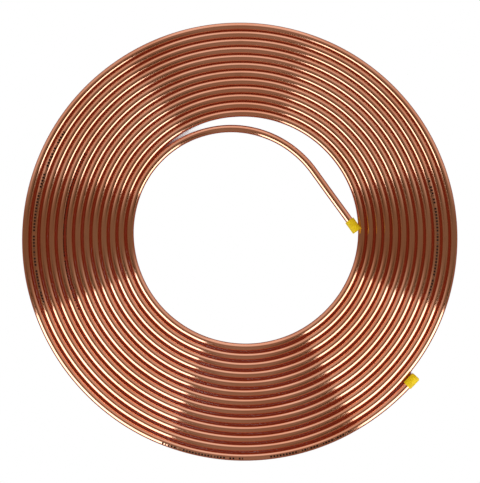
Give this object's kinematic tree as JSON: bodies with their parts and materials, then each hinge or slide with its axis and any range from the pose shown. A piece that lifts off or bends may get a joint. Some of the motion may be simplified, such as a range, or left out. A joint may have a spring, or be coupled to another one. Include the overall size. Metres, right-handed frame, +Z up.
{
  "type": "copper tube coil",
  "caption": "Flat single-layer coil of soft copper tube lying on its side, with its inner end free in the eye and a yellow push-on plastic cap on each end.",
  "frame": {"origin": "centre of the outermost turn, on the floor plane that the coil's underside rests on", "axes": "+Z up along the winding axis; the coil lies flat in XY, with its outer end towards +X and -Y and its inner end in the eye towards +X"},
  "size_m": [0.5548, 0.5589, 0.0197],
  "materials": {
    "copper": "bright drawn copper, soft annealed, with faint draw lines",
    "cap_plastic": "moulded yellow polyethylene, satin"
  },
  "bodies": {
    "root": {"copper_tube": "copper", "inner_end_cap": "cap_plastic", "outer_end_cap": "cap_plastic"}
  },
  "joints": []
}
